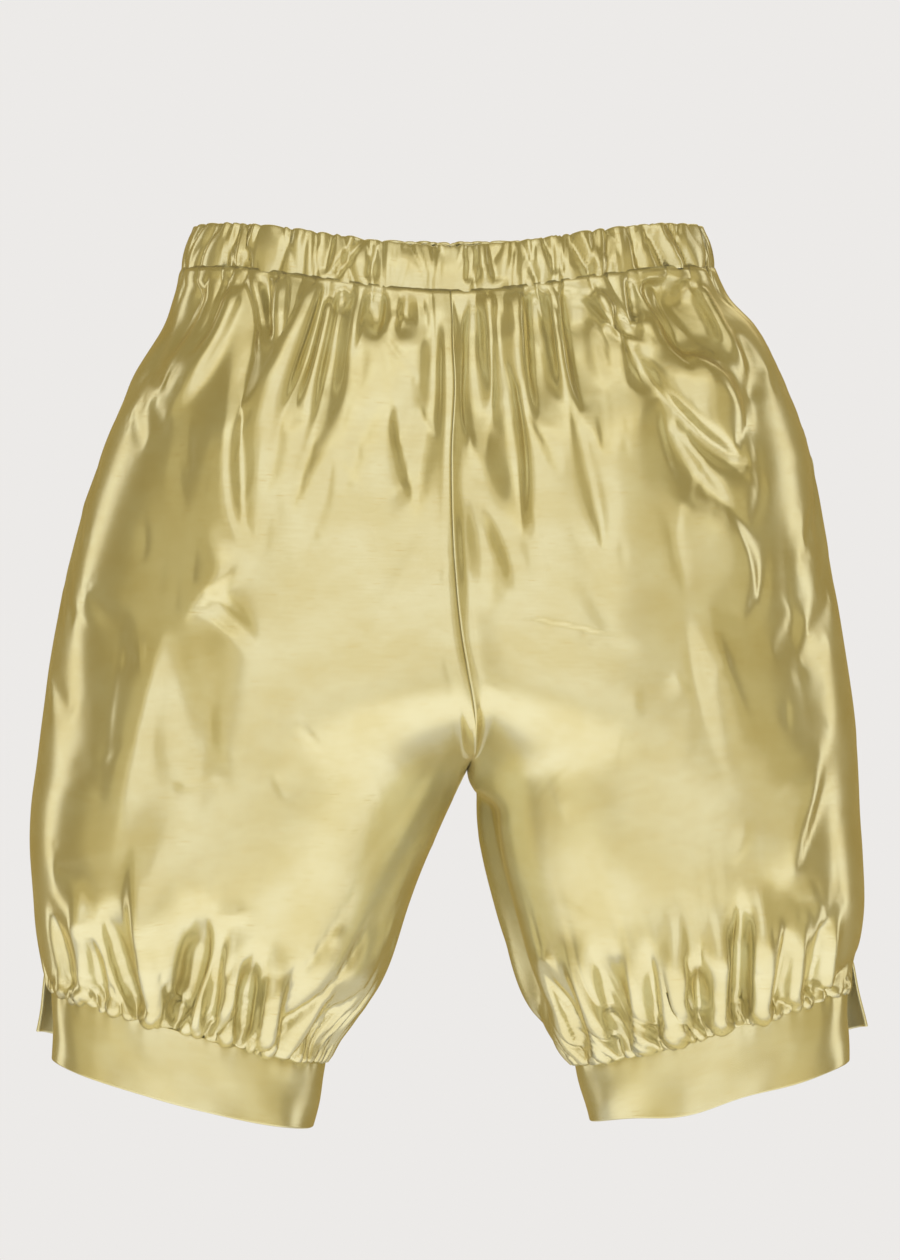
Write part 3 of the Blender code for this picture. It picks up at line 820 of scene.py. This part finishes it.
@dataclass
class WaistCasing:
    """The casing that holds the elastic: a folded and gathered ring on top of the panels."""

    panels: list[Panel]
    height: float = 19.8
    taper: float = 5.0
    wall: float = 2.4
    side_drop: float = 1.8
    panel_width: float = 140.0
    cut_length: float = 820.0
    columns: int = 150
    name: str = "waist_casing_silk"

    def rim(self, share: float) -> tuple[Array, Array]:
        """Finds a ring of the outer skin.

        Args:
            share: 0 at the seam and 1 at the top.

        Returns:
            The ring's points, and its outward directions.
        """
        order = [(0, False), (1, True), (3, False), (2, True)]
        points, facing = [], []
        across = np.linspace(0.0, 1.0, self.columns + 1)
        for number, backwards in order:
            panel = self.panels[number]
            base = FORM.grid(panel.side, panel.face, np.array([0.0, 0.1]), across)
            out = normals_of(base, panel.sign)[0]
            out[:, 2] = 0.0
            out /= np.linalg.norm(out, axis=1, keepdims=True)
            edge = np.minimum(across, 1.0 - across) * self.panel_width
            wave = panel.waist.height(across, share * 3.0, 3.5)
            frill = panel.frill.height(across, (1.0 - share) * 20.0, 1.5)
            puff = 0.5 * math.sin(math.pi * share)
            depth = (1.0 * wave + 0.9 * frill) * smooth(edge / 9.0 + 0.2 * share)
            if panel.face is Face.FRONT:
                low = self.height * share + base[0, :, 2]
                seen = np.stack([base[0, :, 0], base[0, :, 1], low], axis=1)
                depth = depth + 1.3 * sum(crease.lift(seen) for crease in CASING_CREASES)
            depth = depth + puff - self.taper * share**1.5
            row = base[0] + out * depth[:, None]
            row[:, 2] += self.height * share + (0.35 * wave + 0.5 * frill) * share
            row[:, 2] -= self.side_drop * share * (1.0 - across) ** 4
            if backwards:
                row, out = row[::-1], out[::-1]
            points.append(row[:-1])
            facing.append(out[:-1])
        return np.concatenate(points), np.concatenate(facing)

    def build(self) -> Thing:
        """Builds outer skin, top fold and inner skin as one folded sheet.

        Returns:
            The casing.
        """
        rows = [self.rim(share)[0] for share in np.linspace(0.0, 0.95, 15)]
        top, facing = self.rim(1.0)
        for turn in np.linspace(20, 160, 6):
            angle = math.radians(turn)
            inward = self.wall / 2 * (1.0 - math.cos(angle))
            rise = self.wall / 3 * math.sin(angle)
            rows.append(top - facing * inward + np.array([0, 0, rise]))
        for share in np.linspace(0.95, 0.0, 10):
            ring, facing = self.rim(share)
            rows.append(ring - facing * self.wall)
        grid = np.stack(rows)
        grid = np.concatenate([grid, grid[:, :1]], axis=1)
        steps = np.linalg.norm(np.diff(grid, axis=0), axis=2).mean(axis=1)
        down = np.concatenate([[0.0], np.cumsum(steps)])
        around = np.linspace(0.0, self.cut_length, grid.shape[1])
        cut = np.stack(np.meshgrid(around, down), axis=2)
        piece = cloth_mesh(self.name, grid, cut, 1.0)
        merge = bmesh.new()
        merge.from_mesh(piece.data)
        bmesh.ops.remove_doubles(merge, verts=merge.verts, dist=1e-6)
        merge.to_mesh(piece.data)
        merge.free()
        return piece


@dataclass
class KneeBand:
    """A plain doubled band round the knee, open at the outer side.

    hem_dip is how far the front of its hem dips, between two slight rises.
    """

    front: Panel
    back: Panel
    outer_height: float
    inner_height: float
    end_out: float
    end_rise: float
    hem_dip: float = 0.0
    flare: float = 6.0
    wave: float = 1.5
    billow: float = 0.9
    wall: float = 1.5
    hem_round: float = 0.55
    seam_gap: float = 0.2
    cut_length: float = 262.0
    cut_height: float = 33.0
    columns: int = 110
    rows: int = 30

    @property
    def name(self) -> str:
        """The node that this band replaces."""
        return f"knee_band_{self.front.side.name.lower()}"

    def ripple(self, run: Array, share: float) -> Array:
        """Works out the soft swells of the doubled silk and the puckers under its seam.

        Args:
            run: Places along the band, from 0 to 1.
            share: 0 at the seam and 1 at the hem.

        Returns:
            Heights from about -1 to 1.
        """
        phase = self.front.seed
        swell = np.sin(2 * np.pi * (3.1 * run + 0.35 * share) + phase)
        swell = swell + 0.6 * np.sin(2 * np.pi * (7.3 * run - 0.8 * share) + 2.3 * phase)
        tiny = np.sin(2 * np.pi * 41 * run + 3.0 * np.sin(9.0 * run)) * math.exp(-share / 0.12)
        return 0.6 * swell * math.sin(math.pi * min(share * 1.3 + 0.05, 1.0) / 2) + 0.3 * tiny

    def build(self) -> Thing:
        """Builds the band.

        Returns:
            The band.
        """
        side = self.front.side
        across = np.linspace(0.0, 1.0, self.columns + 1)
        front, back = (FORM.section(side, face, FORM.band_seam, across) for face in Face)
        path = np.concatenate([front, back[::-1][1:]])
        run = np.linspace(0.0, 1.0, len(path))
        inner = np.sin(np.pi * run) ** 2
        back_end = smooth((run - 0.8) / 0.2)
        height = self.outer_height + (self.inner_height - self.outer_height) * inner**2
        height = height - self.end_rise * back_end
        dip = self.hem_dip * np.cos(2 * np.pi * (run - 0.3) / 0.22) * bell(run - 0.3, 0.15)
        tangent = np.gradient(path, axis=0)
        outward = np.stack([tangent[:, 1], -tangent[:, 0], np.zeros(len(path))], axis=1)
        outward *= -side.value / np.maximum(np.linalg.norm(outward, axis=1, keepdims=True), 1e-9)
        rows = []
        for share in np.linspace(0.0, 1.0, self.rows + 1):
            row = path.copy()
            row[:, 0] += side.value * share * (self.flare * inner + self.end_out * back_end)
            row[:, 1] *= 1.0 - 0.05 * share
            row[:, 1] += self.wave * share * np.sin(2 * np.pi * (2.5 * run + 0.2 * side.value))
            tuck = 0.7 * math.exp(-share / 0.05)
            row += outward * (self.billow * self.ripple(run, share) - tuck)[:, None]
            row[:, 2] -= self.seam_gap + height * share + dip * share**2
            rows.append(row)
        grid = np.stack(rows)
        around = run * self.cut_length
        down = np.linspace(0.0, self.cut_height, self.rows + 1)
        cut = np.stack(np.meshgrid(around, down), axis=2)
        piece = cloth_mesh(self.name + "_silk", grid, cut, -self.front.sign)
        thicken(piece, self.wall)
        edge = piece.modifiers.new("Folded edge", "BEVEL")
        edge.width = self.hem_round * MM
        edge.segments = 3
        edge.limit_method = "ANGLE"
        edge.angle_limit = math.radians(60)
        return piece


def add_math(tree: bpy.types.NodeTree, operation: str, first: Socket, second: Socket | float) -> Socket:
    """Adds a math node.

    Args:
        tree: The node tree.
        operation: What it works out.
        first: The output that feeds it.
        second: Another output, or a number.

    Returns:
        Its result.
    """
    node = tree.nodes.new("ShaderNodeMath")
    node.operation = operation
    tree.links.new(first, node.inputs[0])
    if isinstance(second, float):
        node.inputs[1].default_value = second
    else:
        tree.links.new(second, node.inputs[1])
    return node.outputs["Value"]


@dataclass(frozen=True)
class SilkDupion:
    """Crisp pale gold silk with slubs along the weft and a warp of a deeper gold."""

    name: str = "silk_dupion"
    light: Colour = (0.71, 0.69, 0.50, 1.0)
    deep: Colour = (0.645, 0.595, 0.365, 1.0)
    slub: Colour = (0.60, 0.49, 0.22, 1.0)
    slub_share: float = 0.6
    streak_share: float = 0.25
    thread_height: float = 0.1 * MM
    roughness: float = 0.27
    metallic: float = 0.82
    anisotropy: float = 0.4
    edge_tint: Colour = (1.0, 0.9, 0.6, 1.0)
    sheen_tint: Colour = (0.95, 0.9, 0.7, 1.0)

    def weave_group(self) -> bpy.types.NodeTree:
        """Builds the weave: slub mask, thread height, and a colour drift of streaks and clouds.

        Returns:
            The node group.
        """
        group = bpy.data.node_groups.new("Slubbed weave", "ShaderNodeTree")
        face = group.interface
        face.new_socket("Cut", in_out="INPUT", socket_type="NodeSocketVector")
        for output in ("Slubs", "Threads", "Drift"):
            face.new_socket(output, in_out="OUTPUT", socket_type="NodeSocketFloat")
        nodes, links = group.nodes, group.links
        start, end = nodes.new("NodeGroupInput"), nodes.new("NodeGroupOutput")

        def noise(scale: Triple, detail: float) -> Socket:
            """Adds noise on the flat cut.

            Args:
                scale: How fine it is along weft and warp.
                detail: How many finer layers it has.

            Returns:
                Its result.
            """
            mapping = nodes.new("ShaderNodeMapping")
            mapping.inputs["Scale"].default_value = scale
            links.new(start.outputs["Cut"], mapping.inputs["Vector"])
            texture = nodes.new("ShaderNodeTexNoise")
            texture.inputs["Scale"].default_value = 1.0
            texture.inputs["Detail"].default_value = detail
            links.new(mapping.outputs["Vector"], texture.inputs["Vector"])
            return texture.outputs["Fac"]

        def ramp(source: Socket, low: float, high: float) -> Socket:
            """Spreads a range of a result over 0 to 1.

            Args:
                source: The result.
                low: What becomes 0.
                high: What becomes 1.

            Returns:
                The spread result.
            """
            step = nodes.new("ShaderNodeMapRange")
            step.inputs["From Min"].default_value = low
            step.inputs["From Max"].default_value = high
            links.new(source, step.inputs["Value"])
            return step.outputs["Result"]

        links.new(ramp(noise((11.0, 170.0, 1.0), 1.0), 0.68, 0.76), end.inputs["Slubs"])
        links.new(noise((60.0, 420.0, 1.0), 2.0), end.inputs["Threads"])
        streaks = ramp(noise((9.0, 120.0, 1.0), 3.0), 0.3, 0.7)
        clouds = ramp(noise((3.2, 4.2, 1.0), 3.0), 0.36, 0.64)
        streaky = add_math(group, "MULTIPLY", streaks, self.streak_share)
        cloudy = add_math(group, "MULTIPLY", clouds, 1.0 - self.streak_share)
        links.new(add_math(group, "ADD", streaky, cloudy), end.inputs["Drift"])
        return group

    def build(self) -> bpy.types.Material:
        """Builds the material.

        Returns:
            The material.
        """
        material = bpy.data.materials.new(self.name)
        material.use_nodes = True
        nodes, links = material.node_tree.nodes, material.node_tree.links
        shader = nodes["Principled BSDF"]
        cut = nodes.new("ShaderNodeUVMap")
        cut.uv_map = "cut"
        weave = nodes.new("ShaderNodeGroup")
        weave.node_tree = self.weave_group()
        links.new(cut.outputs["UV"], weave.inputs["Cut"])
        tint, slubbed = nodes.new("ShaderNodeMix"), nodes.new("ShaderNodeMix")
        for mix, colour in ((tint, self.light), (slubbed, self.slub)):
            mix.data_type = "RGBA"
            mix.inputs["B"].default_value = colour
        tint.inputs["A"].default_value = self.deep
        links.new(weave.outputs["Drift"], tint.inputs["Factor"])
        faint = add_math(material.node_tree, "MULTIPLY", weave.outputs["Slubs"], self.slub_share)
        links.new(faint, slubbed.inputs["Factor"])
        links.new(tint.outputs["Result"], slubbed.inputs["A"])
        links.new(slubbed.outputs["Result"], shader.inputs["Base Color"])
        height = add_math(material.node_tree, "ADD", weave.outputs["Slubs"], weave.outputs["Threads"])
        bump = nodes.new("ShaderNodeBump")
        bump.inputs["Strength"].default_value = 0.2
        bump.inputs["Distance"].default_value = self.thread_height
        links.new(height, bump.inputs["Height"])
        links.new(bump.outputs["Normal"], shader.inputs["Normal"])
        settings = {
            "Roughness": self.roughness,
            "Metallic": self.metallic,
            "Specular Tint": self.edge_tint,
            "Anisotropic": self.anisotropy,
            "Anisotropic Rotation": 0.25,
            "Sheen Weight": 0.08,
            "Sheen Roughness": 0.4,
            "Sheen Tint": self.sheen_tint,
        }
        for name, value in settings.items():
            shader.inputs[name].default_value = value
        grain = nodes.new("ShaderNodeTangent")
        grain.direction_type = "UV_MAP"
        grain.uv_map = "cut"
        links.new(grain.outputs["Tangent"], shader.inputs["Tangent"])
        return material


@dataclass(frozen=True)
class SoftBox:
    """A soft box: place and size in metres, how bright its face is, its colour and its aim."""

    name: str
    place: Triple
    size: tuple[float, float]
    radiance: float
    colour: Triple = (1.0, 1.0, 1.0)
    aim: Triple = (0.0, 0.0, -0.18)

    def build(self) -> None:
        """Adds its light, which the camera doesn't see."""
        data = bpy.data.lights.new(self.name, "AREA")
        data.color = self.colour
        data.shape = "RECTANGLE"
        data.size, data.size_y = self.size
        data.energy = self.radiance * math.pi * self.size[0] * self.size[1]
        light = bpy.data.objects.new(self.name, data)
        light.location = self.place
        towards = Vector(self.aim) - light.location
        light.rotation_euler = towards.to_track_quat("-Z", "Y").to_euler()
        light.visible_camera = False
        bpy.context.scene.collection.objects.link(light)


CREAM, AMBER = (1.0, 0.94, 0.74), (1.0, 0.88, 0.5)
SOFT_BOXES = (
    SoftBox("front box", (-0.1, -2.35, 0.35), (1.9, 3.05), 0.81),
    SoftBox("front left box", (-1.5, -2.25, 0.35), (0.85, 3.05), 0.5, CREAM),
    SoftBox("front right box", (1.3, -2.25, 0.35), (0.85, 3.05), 0.5, CREAM),
    SoftBox("top box", (0.0, -1.55, 1.95), (3.0, 1.5), 0.52, CREAM),
    SoftBox("low box", (0.0, -1.1, -1.05), (3.4, 2.2), 0.58, CREAM, (0.0, -1.1, 0.0)),
    SoftBox("left wing", (-2.1, -1.35, -0.2), (1.5, 3.0), 0.27, AMBER),
    SoftBox("right wing", (2.1, -1.35, -0.2), (1.5, 3.0), 0.27, AMBER),
    SoftBox("left strip", (-1.9, 0.7, 0.0), (0.7, 2.0), 1.0),
    SoftBox("right strip", (1.9, 0.5, 0.0), (0.7, 2.0), 1.0),
    SoftBox("back box", (0.3, 2.2, 1.5), (2.4, 1.6), 0.8),
)


@dataclass(frozen=True)
class Studio:
    """Camera, soft boxes, a pale floor and a pale background, in metres."""

    camera_distance: float = 2.2
    pixels_per_metre: float = 2250.0
    origin_column: float = 447.0
    origin_row: float = 249.5
    floor: float = -1.1
    floor_radius: float = 1.6
    fill: float = 0.6
    gloss_colour: Colour = (0.60, 0.46, 0.12, 1.0)
    fill_colour: Colour = (0.54, 0.50, 0.42, 1.0)
    backdrop: Colour = (0.84, 0.823, 0.807, 1.0)
    paper: Colour = (0.68, 0.67, 0.66, 1.0)
    glow: float = 0.34
    glow_colour: Colour = (0.92, 0.90, 0.86, 1.0)
    sensor: float = 36.0

    def place_camera(self) -> None:
        """Places a level camera square to the front."""
        data = bpy.data.cameras.new("Camera")
        data.sensor_fit = "VERTICAL"
        data.sensor_height = self.sensor
        data.lens = self.sensor * self.camera_distance * self.pixels_per_metre / PHOTO_HEIGHT
        camera = bpy.data.objects.new("Camera", data)
        across = (PHOTO_WIDTH / 2 - self.origin_column) / self.pixels_per_metre
        up = (self.origin_row - PHOTO_HEIGHT / 2) / self.pixels_per_metre
        camera.location = (across, -self.camera_distance, up)
        camera.rotation_euler = (math.radians(90), 0.0, 0.0)
        bpy.context.scene.collection.objects.link(camera)
        bpy.context.scene.camera = camera

    def build_floor(self) -> None:
        """Builds a plain round floor under the breeches."""
        bpy.ops.object.select_all(action="DESELECT")
        bpy.ops.mesh.primitive_circle_add(
            vertices=96, radius=self.floor_radius, fill_type="NGON", location=(0, 0, self.floor)
        )
        bpy.ops.object.transform_apply(location=True)
        floor = bpy.context.active_object
        floor.name = "floor"
        paper = bpy.data.materials.new("pale floor")
        paper.use_nodes = True
        shader = paper.node_tree.nodes["Principled BSDF"]
        shader.inputs["Base Color"].default_value = self.paper
        shader.inputs["Roughness"].default_value = 0.9
        shader.inputs["Emission Color"].default_value = self.glow_colour
        shader.inputs["Emission Strength"].default_value = self.glow
        floor.data.materials.append(paper)

    def build_world(self) -> None:
        """Sets a pale background that lights the breeches only softly."""
        world = bpy.data.worlds.new("Studio")
        world.use_nodes = True
        nodes, links = world.node_tree.nodes, world.node_tree.links
        fill, gloss = nodes["Background"], nodes.new("ShaderNodeBackground")
        for background, colour in ((fill, self.fill_colour), (gloss, self.gloss_colour)):
            background.inputs["Color"].default_value = colour
            background.inputs["Strength"].default_value = self.fill
        backdrop = nodes.new("ShaderNodeBackground")
        backdrop.inputs["Color"].default_value = self.backdrop
        mix, ray = nodes.new("ShaderNodeMixShader"), nodes.new("ShaderNodeLightPath")
        warm = nodes.new("ShaderNodeMixShader")
        links.new(ray.outputs["Is Glossy Ray"], warm.inputs[0])
        links.new(fill.outputs["Background"], warm.inputs[1])
        links.new(gloss.outputs["Background"], warm.inputs[2])
        links.new(ray.outputs["Is Camera Ray"], mix.inputs[0])
        links.new(warm.outputs["Shader"], mix.inputs[1])
        links.new(backdrop.outputs["Background"], mix.inputs[2])
        links.new(mix.outputs["Shader"], nodes["World Output"].inputs["Surface"])
        bpy.context.scene.world = world

    def build(self) -> None:
        """Sets up the whole studio."""
        self.place_camera()
        self.build_floor()
        for box in SOFT_BOXES:
            box.build()
        self.build_world()
        bpy.context.scene.view_settings.view_transform = "Standard"


def dress(piece: Thing, node: str, silk: bpy.types.Material) -> None:
    """Gives a piece its silk and puts it in the place of its solid.

    Args:
        piece: The finished piece.
        node: The node that it replaces.
        silk: Its material.
    """
    piece.data.materials.append(silk)
    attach(piece, "root")
    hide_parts(node)
    log.info("%s: %d faces", piece.name, len(piece.data.polygons))


def main() -> None:
    """Builds the breeches and the studio."""
    logging.basicConfig(level=logging.INFO, format="%(message)s")
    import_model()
    Studio().build()
    silk = SilkDupion().build()
    panels = [
        Panel(Side.RIGHT, Face.FRONT, 3),
        Panel(Side.LEFT, Face.FRONT, 5),
        Panel(Side.RIGHT, Face.BACK, 8),
        Panel(Side.LEFT, Face.BACK, 13),
    ]
    for panel in panels:
        panel.lay_out()
    drape(panels)
    for panel in panels:
        piece = panel.build()
        dress(piece, panel.name, silk)
    casing = WaistCasing(panels).build()
    dress(casing, "waist_casing", silk)
    bands = [
        KneeBand(panels[0], panels[2], 32.5, 29.0, 5.0, 0.0),
        KneeBand(panels[1], panels[3], 33.0, 26.0, 5.5, 3.0, hem_dip=1.6),
    ]
    for band in bands:
        piece = band.build()
        dress(piece, band.name, silk)


if __name__ == "__main__":
    main()
